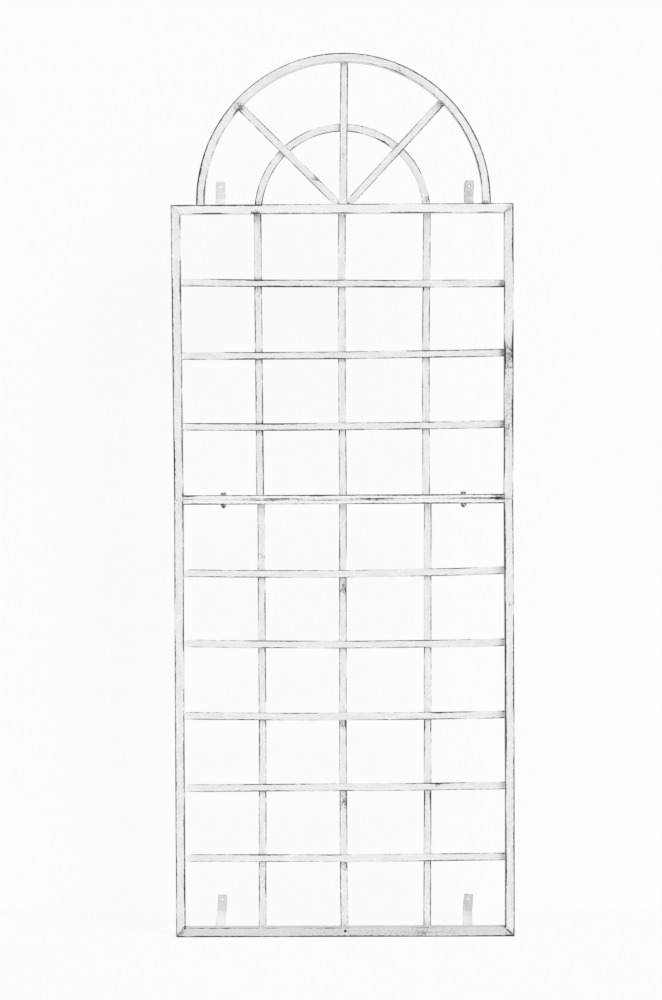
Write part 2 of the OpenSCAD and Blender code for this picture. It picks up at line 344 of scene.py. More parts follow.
MARKS = (
    # left stile
    (-349, 1561, 7, 13, 0.4, 0), (-349, 1503, 7, 39, -0.5, 0),
    (-349, 1300, 7, 170, 0.25, 0),
    # right stile
    (348, 452, 5, 43, 0.6, 0), (357, 1270, 13, 30, 0.7, 0.75),
    (357, 1165, 14, 95, 0.2, 0.45), (354, 1108, 11, 22, 0.4, 0.3),
    (369, 1190, 5, 110, 0.5, 0.15), (350, 480, 6, 420, 0.4, 0),
    (362, 728, 6, 9, 0.2, 0.6), (230, 400, 120, 400, 0.1, 0),
    (370, 1545, 5, 55, 0.7, 0.1),
    # top rail
    (-347, 1595, 26, 5, 0.5, 0), (-245, 1595, 52, 5, 0.5, 0),
    (-187, 1597, 10, 5, 0.7, 0.7), (-187, 1579, 10, 5, 0.7, 0.9),
    (-287, 1576, 30, 5, 0.4, 0), (145, 1575, 45, 4, 0.7, 0),
    (312, 1575, 28, 4, 0.7, 0), (3, 1575, 20, 4, 0.5, 0),
    # cross bars
    (-182, 1434, 33, 6, 0.45, 0.42), (-19, 1429, 17, 7, 0.2, 0.5),
    (122, 1417, 62, 4, 0.7, 0), (345, 1420, 11, 9, 0.3, 0.6),
    (-172, 1277, 30, 5, 0.45, 0.38), (-24, 1263, 26, 4, 0.5, 0),
    (-313, 1274, 11, 9, 0, 0.35), (-166, 1123, 39, 5, 0.45, 0.38),
    (206, 490, 17, 4, 0.5, 0), (206, 334, 17, 4, 0.5, 0.3),
    (201, 328, 11, 7, 0.3, 0.6),
    # seam
    (-338, 968, 17, 4, 1.1, 0.8), (-93, 968, 98, 4, 0.45, 0),
    (-54, 968, 13, 4, 0.5, 0.3), (0, 958, 500, 3, -0.16, 0),
    (-110, 958, 90, 3, 0.16, 0.1), (60, 958, 30, 3, 0.2, 0.1),
    (-319, 948, 30, 4, 0.5, 0), (337, 963, 13, 7, 0.6, 0.5),
    (168, 967, 130, 4, 0.25, 0),
    # uprights
    (1, 765, 11, 17, 0.5, 0.9), (-1, 464, 11, 9, 0.4, 0.7),
    (0, 294, 11, 15, 0.5, 0.9), (-1, 151, 9, 9, 0.3, 0.5),
    (-177, 834, 9, 15, 0, 0.5), (-186, 1563, 9, 6, 0.3, 0.35),
    (-184, 1400, 9, 11, 0, 0.4), (182, 459, 13, 9, 0.6, 0),
    (182, 300, 13, 13, 0.6, 0.2), (-174, 113, 12, 30, 0.4, 0.42),
    # arches
    (-305, 1681, 13, 87, 0.5, 0), (-297, 1622, 6, 30, 0.3, 0),
    (-222, 1806, 11, 12, 0.3, 0.95), (217, 1809, 7, 7, 0.2, 0.6),
    (0, 1908, 30, 5, 0.1, 0.35), (-227, 1793, 11, 11, 0.5, 0),
    (123, 1882, 17, 11, 0.2, 0.5), (274, 1710, 43, 98, 0.35, 0),
    (310, 1596, 9, 4, 0.5, 0.8),
    # inner arch and spokes
    (-55, 1652, 13, 9, 0.4, 0.8), (86, 1731, 17, 11, 0.7, 0),
    (3, 1702, 6, 9, 0.2, 0.45), (186, 1607, 7, 7, 0.3, 0.9),
    # corners and bottom rail
    (360, 1583, 9, 9, 0.4, 0.4), (-371, 18, 4, 18, 0.9, 0.3),
    (-361, 2, 9, 4, 0.4, 0.2), (-353, 21, 3, 3, 0.5, 0.9),
    (-359, 12, 3, 3, 0.1, 0.5), (-316, 0, 20, 4, 0.4, 0),
    (-186, 45, 5, 25, -0.3, 0), (361, 9, 13, 13, 0.5, 0.2),
    (0, -1, 369, 4, 0.45, 0), (169, 10, 17, 11, 0.2, 0.2),
    (0, 10, 400, 13, 0, 0.3), (200, 10, 150, 13, 0, 0.12),
)


def marks_at(x, z):
    """The rubbing and the dirt that the marks add at each point."""
    rub = np.zeros_like(x)
    dirt_and_shade = np.zeros_like(x)
    for mark_x, mark_z, reach_x, reach_z, more_rub, more_grime in MARKS:
        weight = bump_at(x, mark_x, reach_x) * bump_at(z, mark_z, reach_z)
        rub += more_rub * weight
        dirt_and_shade += more_grime * weight
    return rub, dirt_and_shade


# Meshes

def finish_mesh(me):
    """Turns the faces outward and keeps sharp edges sharp."""
    bm = bmesh.new()
    bm.from_mesh(me)
    bmesh.ops.recalc_face_normals(bm, faces=bm.faces)
    for f in bm.faces:
        f.smooth = True
    for e in bm.edges:
        e.smooth = len(e.link_faces) == 2 and e.calc_face_angle() < CREASE
    bm.to_mesh(me)
    bm.free()


def link(name, data):
    ob = bpy.data.objects.new(name, data)
    bpy.context.scene.collection.objects.link(ob)
    return ob


def add(name, verts, faces, body, slot, replaced=()):
    """Makes a piece from points in mm."""
    me = bpy.data.meshes.new(name)
    me.from_pydata((np.asarray(verts, float) * MM).tolist(), [], faces)
    finish_mesh(me)
    me.materials.append(MATERIALS[slot])
    ob = link(name, me)
    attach(ob, body)
    if replaced:
        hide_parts(*replaced)
    return ob


def write(me, name, values):
    """Writes a value or a vector to each point of a mesh."""
    kind, field = ("FLOAT_VECTOR", "vector") if values.ndim == 2 else ("FLOAT", "value")
    layer = me.attributes.new(name, kind, "POINT")
    layer.data.foreach_set(field, values.astype(np.float32).ravel())


def points(ob):
    """The points of a piece in mm."""
    co = np.empty(len(ob.data.vertices) * 3, np.float32)
    ob.data.vertices.foreach_get("co", co)
    return co.reshape(-1, 3).astype(float) / MM


# How far the pattern moves on for each piece, and the most rubbing or dirt of a point
PIECE_STEP = 1370.0
MOST = 1.3


def dress(ob, path, arris, rub, dirt_and_shade, seed):
    """Gives a piece the values that its paint reads."""
    p = points(ob)
    more_rub, more_grime = marks_at(p[:, 0], p[:, 2])
    write(ob.data, "path", path + np.array([seed * PIECE_STEP, 0, 0]))
    write(ob.data, "arris", arris)
    write(ob.data, "rub", np.clip(rub + more_rub, 0, MOST))
    write(ob.data, "dirt_and_shade", np.clip(dirt_and_shade + more_grime, 0, MOST))


# Distances in mm at which a mesh has points: from an arris, from an end, and along bars and tubes
EDGE_STOPS = (1.5, 2.6, 4.5)
STOP_ROOM = 0.2
END_STOPS = (0.9, 2.0, 3.5)
STEP = 6
ROUND_PARTS = 4


def side_stops(half, round_r):
    near = [d for d in (round_r,) + EDGE_STOPS if round_r <= d < half - STOP_ROOM]
    first = [d - half for d in near]
    return first + [0.0] + [-v for v in reversed(first)]


def section(half_a, half_b, round_r):
    """Points round a rectangle with rounded corners, close together by the corners."""
    pts = []
    for turn in range(4):
        ha, hb = (half_a, half_b) if turn % 2 == 0 else (half_b, half_a)
        row = [(v, -hb) for v in side_stops(ha, round_r)]
        for k in range(1, ROUND_PARTS):
            g = -pi / 2 + k * pi / (2 * ROUND_PARTS)
            row.append((ha - round_r + round_r * cos(g), -hb + round_r + round_r * sin(g)))
        c, s = round(cos(turn * pi / 2)), round(sin(turn * pi / 2))
        pts += [(c * a - s * b, s * a + c * b) for a, b in row]
    return np.array(pts)


def stations(length, step=STEP, fine=False):
    """Places along a piece from 0 to 1, closer together at its ends where asked."""
    n = max(2, round(length / step))
    s = np.linspace(0, 1, n + 1)
    if fine:
        close = np.array(END_STOPS) / length
        s = np.unique(np.concatenate([s, close, 1 - close]))
    return s


def belt(a, b, m):
    """Faces between two rings of m points each, whose first points are a and b."""
    return [(a + j, a + (j + 1) % m, b + (j + 1) % m, b + j) for j in range(m)]


def sweep(sec, place, start, end, stops, inner=None):
    """Runs a section along a way, solid, or hollow where an inner section is given.

    place(t, a, b) gives a point; start and end give the t of both cuts at (a, b). The grid holds t, a, b
    and the distances from both cuts for each point.
    """
    loops = [sec] if inner is None else [sec, inner]
    verts, faces, grid = [], [], []
    for loop in loops:
        a, b = loop[:, 0], loop[:, 1]
        t0, t1 = start(a, b), end(a, b)
        t = t0[None, :] + stops[:, None] * (t1 - t0)[None, :]
        aa, bb = np.broadcast_to(a, t.shape), np.broadcast_to(b, t.shape)
        verts.append(np.stack(place(t, aa, bb), -1).reshape(-1, 3))
        grid.append(np.stack([t, aa, bb, t - t0, t1 - t], -1).reshape(-1, 5))
    n, m = len(stops), len(sec)
    for part in range(len(loops)):
        for i in range(n - 1):
            base = (part * n + i) * m
            faces += belt(base, base + m, m)
    last = (n - 1) * m
    if inner is None:
        faces += [tuple(range(m)), tuple(range(last, last + m))]
    else:
        for edge in (0, last):
            faces += belt(edge, n * m + edge, m)
    return np.concatenate(verts), faces, np.concatenate(grid)


def swept(node, ending, body, *how):
    """A painted piece in place of a node, made by sweep, and its grid."""
    verts, faces, grid = sweep(*how)
    return add(f"{node}_{ending}", verts, faces, body, "white_paint", (node,)), grid


def cut_at(value):
    return lambda a, b: np.full_like(a, value)


# Wear along the arrises

# The share of a rounding that lies before its middle, and a distance from any arris that is never rubbed
ROUND_SHARE = 0.29
UNRUBBED = 15.0
# How strongly rubbing comes and goes, over how many mm, and how far apart the four arrises are read
SWING = 0.28
WAVE = 70
RIPPLE_SHARE, RIPPLE = 0.35, 14
ARRIS_STEP = 613.0


def arris_of(grid, half_a, half_b, round_r):
    """Distance from the nearest arris, counted from the middle of its rounding."""
    inset = np.maximum(half_a - np.abs(grid[:, 1]), half_b - np.abs(grid[:, 2]))
    return np.maximum(inset - ROUND_SHARE * round_r, 0)


def rub_along(grid, seed, node, swing=SWING):
    """Rubbing that comes and goes along each of the four arrises of a node."""
    high, back = grid[:, 1] > 0, grid[:, 2] > 0
    front_wear = PIECES[node][0]
    back_wear = BACK_WEAR.get(node, front_wear)
    base = np.where(back, np.where(high, *back_wear[::-1]), np.where(high, *front_wear[::-1]))
    t = grid[:, 0] + ARRIS_STEP * (2 * high + back)
    return base + swing * (wander(t, seed, WAVE) + RIPPLE_SHARE * wander(t, seed + 40, RIPPLE))


# Straight pieces

Span = namedtuple("Span", "first last mid long broad half_a half_b length")


def span(node, axis):
    """Where a straight piece lies along x or z, and its half sizes across that."""
    lo, hi = corners(node)
    long, broad = (0, 2) if axis == "x" else (2, 0)
    half_a, half_b = (hi[broad] - lo[broad]) / 2, (hi[1] - lo[1]) / 2
    return Span(lo[long], hi[long], (lo + hi) / 2, long, broad, half_a, half_b, hi[long] - lo[long])


# Touches of wear, dust and painted light on a cross bar, as mm from a place, reach in mm and strength;
# painted bounce light keeps the left end pale and painted shadow darkens the right end
# Painted bounce light: less rubbing keeps the left end pale, as if lit by light off the left stile
LEFT_END_PAINTED_BOUNCE = (0, 14, 0.7)
LEFT_UPRIGHT_X = -165
LEFT_UPRIGHT_RUB = (0, 60, 0.2)
LEFT_END_DUST = (0, 9, 0.1)
# Painted shadow of the right stile, darkening the right end of each cross bar
RIGHT_END_PAINTED_SHADOW = (0, 9, 0.3)
# Touches of wear and dust on an upright, at its ends and by each cross bar, with painted shadow just below
# each cross bar
FOOT_DUST = (0, 8, 0.35)
HEAD_DUST = (0, 8, 0.3)
KEPT_ABOVE = (20, 12, 0.5)
KEPT_BELOW = (-26, 10, 0.35)
CROSSING_RUB = (-13, 6, 0.35)
# Darker just below each cross bar: dust together with painted shadow of the cross bar
CROSSING_SHADOW_AND_DUST = (-13, 8, 0.3)


def cross_wear(t, first, last, rub):
    """A cross bar keeps its paint at its left end, kept pale as painted bounce light off the left stile, and
    loses more by the left upright; its right end is darkened with painted shadow of the right stile.
    """
    rub = rub * (1 - touch(t, first, LEFT_END_PAINTED_BOUNCE)) + touch(t, LEFT_UPRIGHT_X, LEFT_UPRIGHT_RUB)
    return rub, touch(t, last, RIGHT_END_PAINTED_SHADOW) + touch(t, first, LEFT_END_DUST)


def upright_wear(t, first, last, rub):
    """An upright is rubbed, dusty and darkened with painted shadow of the cross bar just below each cross
    bar, and keeps its paint further off.
    """
    dirt_and_shade = touch(t, first, FOOT_DUST) + touch(t, last, HEAD_DUST)
    for z in CROSSINGS:
        if first < z < last:
            rub = rub * (1 - touch(t, z, KEPT_ABOVE) - touch(t, z, KEPT_BELOW)) + touch(t, z, CROSSING_RUB)
            dirt_and_shade = dirt_and_shade + touch(t, z, CROSSING_SHADOW_AND_DUST)
    return rub, dirt_and_shade


# How far a bar sways across its face and warps in depth, and over how many mm
BAR_SWAY, BAR_SWAY_STEP = 0.35, 130
BAR_WARP, BAR_WARP_STEP = 0.2, 170


def bar(node, body, axis, seed, swing):
    sp = span(node, axis)

    def place(t, a, b):
        s = (t - sp.first) / sp.length
        off = stray(node, s) + BAR_SWAY * wander(t, seed + 7, BAR_SWAY_STEP)
        deep = BAR_WARP * wander(t, seed + 9, BAR_WARP_STEP) * 4 * s * (1 - s)
        way = {sp.long: t, sp.broad: sp.mid[sp.broad] + a + off, 1: sp.mid[1] + b + deep}
        return way[0], way[1], way[2]

    first, last = sp.first, sp.last
    if axis == "x":
        panel = node.split("_")[0]
        first, last = first + pinch(panel, "left", sp.mid[2]), last + pinch(panel, "right", sp.mid[2])
    sec = section(sp.half_a, sp.half_b, BAR_ROUND)
    stops = stations(sp.length)
    ob, grid = swept(node, "bar", body, sec, place, cut_at(first), cut_at(last), stops)
    wear = cross_wear if axis == "x" else upright_wear
    rub, dirt_and_shade = wear(grid[:, 0], sp.first, sp.last, rub_along(grid, seed, node, swing))
    dress(ob, grid[:, :3], arris_of(grid, sp.half_a, sp.half_b, BAR_ROUND), rub, dirt_and_shade, seed)


Tube = namedtuple("Tube", "ob node span start end off")


def tube(node, body, axis, mitre=(0, 0), slope=1, trim=(0, 0)):
    """A square tube. mitre says which ends are mitred; slope is the side that is longer."""
    sp = span(node, axis)

    def off(t):
        return stray(node, (t - sp.first) / sp.length)

    def place(t, a, b):
        way = {sp.long: t, sp.broad: sp.mid[sp.broad] + a + off(t), 1: sp.mid[1] + b}
        return way[0], way[1], way[2]

    def start(a, b):
        return sp.first + trim[0] + mitre[0] * (sp.half_a - slope * a)

    def end(a, b):
        return sp.last + trim[1] - mitre[1] * (sp.half_a - slope * a)

    sec = section(sp.half_a, sp.half_b, TUBE_ROUND)
    inner = sec * np.array([1 - TUBE_WALL / sp.half_a, 1 - TUBE_WALL / sp.half_b])
    stops = stations(sp.length, fine=True)
    ob = swept(node, "tube", body, sec, place, start, end, stops, inner)[0]
    return Tube(ob, node, sp, start, end, off)


# The rubbed line beside the seam's groove: its distance, how it comes and goes, and how much is kept
GROOVE_LINE = 1.5
GROOVE_SWING = 0.16
GROOVE_KEPT = 0.03
# The line at a tube's end: its reach, its rubbing, more where tubes join, and how it comes and goes
END_REACH = 6
END_RUB = 0.05
JOINED_RUB = 0.12
END_SWING, END_WAVE = 0.35, 9
DUST_REACH = 10


def dress_tube(made, seed, joined, dust=0.25, swing=SWING, groove=0, fresh=0.0):
    """The paint of a tube, worked out from where its points are.

    joined says which ends show a rubbed line where tubes meet, and groove on which side a rail meets
    another one: there the rubbed line lies beside the groove.
    """
    sp = made.span
    p = points(made.ob)
    t, b = p[:, sp.long], p[:, 1] - sp.mid[1]
    a = p[:, sp.broad] - sp.mid[sp.broad] - made.off(t)
    first, last = t - made.start(a, b), made.end(a, b) - t
    grid = np.stack([t, a, b], -1)
    in_groove = (a * groove > 0) & (b < 0)
    arris = arris_of(grid, sp.half_a, sp.half_b, TUBE_ROUND)
    arris = np.where(in_groove, np.abs(sp.half_a - np.abs(a) - GROOVE_LINE), arris)
    swing = np.where(in_groove, GROOVE_SWING, swing)
    rub = rub_along(grid, seed, made.node, swing) - GROOVE_KEPT * in_groove
    for gap, on in ((first, joined[0]), (last, joined[1])):
        lined = (np.abs(gap) < END_REACH) & (np.abs(gap) < arris)
        arris = np.where(lined, np.abs(gap), arris)
        line_rub = END_RUB + JOINED_RUB * on + END_SWING * wander(a + b, seed + 3, END_WAVE)
        rub = np.where(lined, line_rub, rub)
    inside = (np.abs(a) < sp.half_a - TUBE_WALL / 2) & (np.abs(b) < sp.half_b - TUBE_WALL / 2)
    dirt_and_shade = dust * (bump_at(first, 0, DUST_REACH) + bump_at(last, 0, DUST_REACH))
    dress(made.ob, grid, np.where(inside, UNRUBBED, arris), rub, dirt_and_shade, seed)
    write(made.ob.data, "fresh", np.full(len(p), fresh))


DRILL_TURN = {"y": Matrix.Rotation(pi / 2, 4, "X"), "z": Matrix()}
DRILL_SIDES = 40


def drill(ob, centre, axis, radius, depth):
    bm = bmesh.new()
    bmesh.ops.create_cone(
        bm, cap_ends=True, segments=DRILL_SIDES, radius1=radius * MM, radius2=radius * MM, depth=depth * MM,
        matrix=Matrix.Translation(Vector(centre) * MM) @ DRILL_TURN[axis],
    )
    me = bpy.data.meshes.new("cutter")
    bm.to_mesh(me)
    bm.free()
    cutter = link("cutter", me)
    mod = ob.modifiers.new("drill", "BOOLEAN")
    mod.operation = "DIFFERENCE"
    mod.solver = "EXACT"
    mod.object = cutter
    bpy.context.view_layer.update()
    cut = bpy.data.meshes.new_from_object(ob.evaluated_get(bpy.context.evaluated_depsgraph_get()))
    ob.modifiers.clear()
    old, name = ob.data, ob.data.name
    ob.data = cut
    bpy.data.meshes.remove(old)
    cut.name = name
    bpy.data.objects.remove(cutter)
    bpy.data.meshes.remove(me)
    finish_mesh(cut)


# Frame tubes: node, body, which ends are mitred, and the side that is longer

STILES = (
    ("upper_left_stile", UPPER, (0, 1), -1),
    ("upper_right_stile", UPPER, (0, 1), 1),
    ("lower_left_stile", LOWER, (1, 0), -1),
    ("lower_right_stile", LOWER, (1, 0), 1),
)
BOTH_ENDS = (1, 1)
NO_END = (0, 0)
FRESH = 0.08
DRAIN_Z, DRAIN_R = 13, 3
TOP_DULL, SIDE_DULL = 0.48, 0.33

for seed, (node, body, mitred, slope) in enumerate(STILES):
    dress_tube(tube(node, body, "z", mitred, slope), seed, BOTH_ENDS, swing=0.4)

dress_tube(tube("top_rail", UPPER, "x", BOTH_ENDS, 1), 5, BOTH_ENDS, fresh=FRESH)

made = tube("bottom_rail", LOWER, "x", BOTH_ENDS, -1)
drill(made.ob, (0, corners("bottom_rail")[0][1], DRAIN_Z), "y", DRAIN_R, depth=8)
dress_tube(made, 6, BOTH_ENDS, dust=0.4)
on_top = points(made.ob)[:, 2] > 2 * TUBE_HALF - 0.1
write(made.ob.data, "dull", np.where(on_top, TOP_DULL, SIDE_DULL))

for seed, (panel, groove) in enumerate((("upper", -1), ("lower", 1)), 7):
    trim = (pinch(panel, "left", SEAM), pinch(panel, "right", SEAM))
    made = tube(f"{panel}_joint_rail", PANELS[panel], "x", trim=trim)
    for side in (-1, 1):
        drill(made.ob, (side * BOLT_X, 0, made.span.mid[2]), "z", BOLT_HOLE_R, depth=16)
    dress_tube(made, seed, NO_END, dust=0.3, groove=groove, fresh=FRESH)


# Flat bars

CROSS_SWING = {"upper": 0.34, "lower": 0.24}

seed = 10
for panel, body in PANELS.items():
    for side in UPRIGHTS:
        bar(f"{panel}_{side}_bar", body, "z", seed, swing=0.24)
        seed += 1
    for node in cross_bars(panel):
        bar(node, body, "x", seed, CROSS_SWING[panel])
        seed += 1


# Outer arch

outer_lo, outer_hi = corners("outer_arch")
OUTER_HALF = (outer_hi[1] - outer_lo[1]) / 2
ARCH_X = (outer_lo[0] + outer_hi[0]) / 2
OUTER_MID = (outer_hi[0] - outer_lo[0]) / 2 - OUTER_HALF
OUTER_IN = OUTER_MID - OUTER_HALF
OUTER_Z = outer_hi[2] - OUTER_MID - OUTER_HALF
OUTER_LEG = OUTER_Z - outer_lo[2]
OUTER_L = pi * OUTER_MID + 2 * OUTER_LEG
OUTER_SEED = 31
OUTER_DUST = 0.3

# More or less rubbing, as mm from the left foot, reach and strength
OUTER_RUB_INSIDE = ((367, 110, -0.2), (95, 90, 0.12), (600, 130, 0.12))
OUTER_RUB_OUTSIDE = ((125, 100, 0.18), (621, 110, 0.05))


def outer_place(t, a, b):
    turn = np.clip((t - OUTER_LEG) / OUTER_MID, 0, pi)
    drop = np.maximum(OUTER_LEG - t, 0) + np.maximum(t - OUTER_LEG - pi * OUTER_MID, 0)
    r = OUTER_MID + a
    return ARCH_X - r * np.cos(turn), b, OUTER_Z + r * np.sin(turn) - drop


sec = section(OUTER_HALF, OUTER_HALF, TUBE_ROUND)
inner = sec * (1 - TUBE_WALL / OUTER_HALF)
stops = stations(OUTER_L)
ob, grid = swept("outer_arch", "tube", UPPER, sec, outer_place, cut_at(0.0), cut_at(OUTER_L), stops, inner)
arris = arris_of(grid, OUTER_HALF, OUTER_HALF, TUBE_ROUND)
inside = np.maximum(np.abs(grid[:, 1]), np.abs(grid[:, 2])) < OUTER_HALF - TUBE_WALL / 2
rub = rub_along(grid, OUTER_SEED, "outer_arch", swing=0.18)
for spots, on_side in ((OUTER_RUB_INSIDE, grid[:, 1] < 0), (OUTER_RUB_OUTSIDE, grid[:, 1] > 0)):
    for spot in spots:
        rub += touch(grid[:, 0], 0, spot) * on_side
dirt_and_shade = OUTER_DUST * (bump_at(grid[:, 0], 0, DUST_REACH) + bump_at(grid[:, 0], OUTER_L, DUST_REACH))
dress(ob, grid[:, :3], np.where(inside, UNRUBBED, arris), rub, dirt_and_shade, OUTER_SEED)


# Inner arch

inner_lo, inner_hi = corners("inner_arch")
INNER_RISE = inner_hi[2] - inner_lo[2]
INNER_R = ((inner_hi[0] - ARCH_X) ** 2 + INNER_RISE ** 2) / (2 * INNER_RISE)
INNER_Z = inner_hi[2] - INNER_R
INNER_MID = INNER_R - BAR_HALF
INNER_DROP = inner_lo[2] - INNER_Z
INNER_Y = (inner_lo[1] + inner_hi[1]) / 2
INNER_HALF_Y = (inner_hi[1] - inner_lo[1]) / 2
INNER_SEED = 32
INNER_RUB = (352, 60, 0.12)
INNER_FOOT_DUST = (0, 8, 0.4)


def inner_place(t, a, b):
    g = t / INNER_MID
    r = INNER_MID + a + stray("inner_arch", g / pi)
    return ARCH_X - r * np.cos(g), INNER_Y + b, INNER_Z + r * np.sin(g)


def inner_start(a, b):
    return INNER_MID * np.arcsin(INNER_DROP / (INNER_MID + a))


def inner_end(a, b):
    return pi * INNER_MID - inner_start(a, b)


sec = section(BAR_HALF, INNER_HALF_Y, BAR_ROUND)
stops = stations(pi * INNER_MID, step=5)
ob, grid = swept("inner_arch", "bar", UPPER, sec, inner_place, inner_start, inner_end, stops)
rub = rub_along(grid, INNER_SEED, "inner_arch") + touch(grid[:, 0], 0, INNER_RUB) * (grid[:, 1] > 0)
dirt_and_shade = touch(grid[:, 3], 0, INNER_FOOT_DUST) + touch(grid[:, 4], 0, INNER_FOOT_DUST)
dress(ob, grid[:, :3], arris_of(grid, BAR_HALF, INNER_HALF_Y, BAR_ROUND), rub, dirt_and_shade, INNER_SEED)


# Spokes: lean in degrees and seed

SPOKES = {"left_spoke": (-45, 33), "centre_spoke": (0, 34), "right_spoke": (43, 35)}
SPOKE_LO, SPOKE_HI = corners("centre_spoke")
SPOKE_Y = (SPOKE_LO[1] + SPOKE_HI[1]) / 2
SPOKE_HALF_Y = (SPOKE_HI[1] - SPOKE_LO[1]) / 2
SPOKE_SWAY, SPOKE_SWAY_STEP = 0.25, 120
HUB_KEPT = (0, 13, 0.95)
HUB_DUST = (0, 12, 0.15)
SPOKE_END_DUST = (0, 9, 0.3)


def spoke(node, lean, seed):
    """A flat bar from the hub to the outer arch. Gives back its place and end, for its weld."""
    g = radians(lean)
    way = np.array([sin(g), cos(g)])
    off = np.array([cos(g), -sin(g)])

    def start(a, b):
        t = (RAIL_TOP + WELD_GAP - HUB_Z - off[1] * a) / way[1]
        if lean:
            side = copysign(1, lean)
            t = np.maximum(t, (BAR_HALF + WELD_GAP - side * off[0] * a) / (side * way[0]))
        return t

    def end(a, b):
        ox, oz = off[0] * a, HUB_Z + off[1] * a - OUTER_Z
        along = ox * way[0] + oz * way[1]
        return -along + np.sqrt(along ** 2 - ox ** 2 - oz ** 2 + (OUTER_IN - WELD_GAP) ** 2)

    length = float(end(np.zeros(1), None)[0])

    def place(t, a, b):
        a = a + stray(node, t / length) + SPOKE_SWAY * wander(t, seed + 7, SPOKE_SWAY_STEP)
        return ARCH_X + way[0] * t + off[0] * a, SPOKE_Y + b, HUB_Z + way[1] * t + off[1] * a

    sec = section(BAR_HALF, SPOKE_HALF_Y, BAR_ROUND)
    ob, grid = swept(node, "bar", UPPER, sec, place, start, end, stations(length))
    rub = rub_along(grid, seed, node) * (1 - touch(grid[:, 3], 0, HUB_KEPT))
    dirt_and_shade = touch(grid[:, 3], 0, HUB_DUST) + touch(grid[:, 4], 0, SPOKE_END_DUST)
    dress(ob, grid[:, :3], arris_of(grid, BAR_HALF, SPOKE_HALF_Y, BAR_ROUND), rub, dirt_and_shade, seed)
    return place, end


SPOKE_ENDS = {node: spoke(node, lean, seed) for node, (lean, seed) in SPOKES.items()}


# Wall brackets: the shift in mm, the lean in degrees and the dullness of the tab are the photo's

Strap = namedtuple("Strap", "body rail_top seed shift lean dull")
BRACKETS = {
    "top_left_bracket": Strap(UPPER, RAIL_TOP, 36, 1.0, 0.0, 0.0),
    "top_right_bracket": Strap(UPPER, RAIL_TOP, 37, -1.0, 3.0, 0.12),
    "bottom_left_bracket": Strap(LOWER, 2 * TUBE_HALF, 38, -3.5, 3.0, 0.2),
    "bottom_right_bracket": Strap(LOWER, 2 * TUBE_HALF, 39, -2.5, 4.5, 0.25),
}
STRAP_T = 3.0
STRAP_ROUND = 0.5
BEND_R = 3.0
BEND_DROP = 5.0
ARM_SLOPE = 25
TAB_ROUND = 2.5
SCREW_EDGE = 11.0
SCREW_R = 3.0
# Paint: how the pattern runs along the arm, the rubbing, and the dust by the hole and at the bend
ARM_ALONG, ARM_ACROSS = 0.6, 0.4
STRAP_RUB, STRAP_WAVE = 0.1, 20
HOLE_DUST, HOLE_REACH = 0.2, 2.5
BEND_DUST = (0, 9, 0.2)
DULL_BLUR = 6


def strap_x(node, z):
    """The middle of a bracket's strap at a height, shifted and leaning as in the photo."""
    strap = BRACKETS[node]
    return middle(node)[0] + strap.shift + (z - strap.rail_top + BEND_DROP) * tan(radians(strap.lean))


def bracket(node):
    """A strap bent twice: foot, arm and upright tab with a screw hole."""
    strap = BRACKETS[node]
    lo, hi = corners(node)
    half = (hi[0] - lo[0]) / 2
    base_y, base_z = lo[1], strap.rail_top - BEND_DROP
    gap = hi[1] - lo[1]
    bend = radians(90 - ARM_SLOPE)
    r = BEND_R + STRAP_T / 2
    foot = base_z - lo[2]
    tab_y = gap - STRAP_T / 2
    arm = (gap - STRAP_T - 2 * r * (1 - cos(bend))) / sin(bend)
    tab_z = 2 * r * sin(bend) + arm * cos(bend)
    tab = hi[2] - base_z - tab_z
    legs = np.cumsum([foot, r * bend, arm, r * bend, tab])

    def centre_line(t):
        """Place and direction at t along the middle of the strap, in y and z."""
        if t <= legs[0]:
            return STRAP_T / 2, t - foot, 0.0
        if t <= legs[1]:
            g = (t - legs[0]) / r
            return STRAP_T / 2 + r * (1 - cos(g)), r * sin(g), g
        y, z = STRAP_T / 2 + r * (1 - cos(bend)), r * sin(bend)
        if t <= legs[2]:
            d = t - legs[1]
            return y + d * sin(bend), z + d * cos(bend), bend
        if t <= legs[3]:
            g = bend - (t - legs[2]) / r
            return tab_y - r * (1 - cos(g)), tab_z - r * sin(g), g
        return tab_y, tab_z + t - legs[3], 0.0

    def place(t, a, b):
        line = np.array([centre_line(v) for v in t.ravel()]).reshape(t.shape + (3,))
        y = base_y + line[..., 0] + a * np.cos(line[..., 2])
        z = base_z + line[..., 1] - a * np.sin(line[..., 2])
        return strap_x(node, z) + b, y, z

    def end(a, b):
        over = np.maximum(np.abs(b) - (half - TAB_ROUND), 0)
        return legs[4] - TAB_ROUND + np.sqrt(np.maximum(TAB_ROUND ** 2 - over ** 2, 0))

    sec = section(STRAP_T / 2, half, STRAP_ROUND)
    stops = stations(legs[4], step=2.2, fine=True)
    ob = swept(node, "strap", strap.body, sec, place, cut_at(0.0), end, stops)[0]
    hole_z = hi[2] - SCREW_EDGE
    hole_x = strap_x(node, hole_z)
    drill(ob, (hole_x, base_y + tab_y, hole_z), "y", SCREW_R, depth=12)
    x, y, z = points(ob).T
    path = np.stack([z + ARM_ALONG * y, x, ARM_ACROSS * y], -1)
    arris = np.minimum(half - np.abs(x - strap_x(node, z)), np.maximum(hi[2] - z, 0))
    hole = np.maximum(np.hypot(x - hole_x, z - hole_z) - SCREW_R, 0)
    rub = STRAP_RUB + STRAP_RUB * wander(z, strap.seed, STRAP_WAVE)
    dirt_and_shade = HOLE_DUST * np.exp(-hole / HOLE_REACH) + touch(z, base_z, BEND_DUST)
    dress(ob, path, np.minimum(arris, hole), rub, dirt_and_shade, strap.seed)
    write(ob.data, "dull", strap.dull * np.clip((z - base_z - tab_z) / DULL_BLUR + 0.5, 0, 1))


for node in BRACKETS:
    bracket(node)


# Weld beads

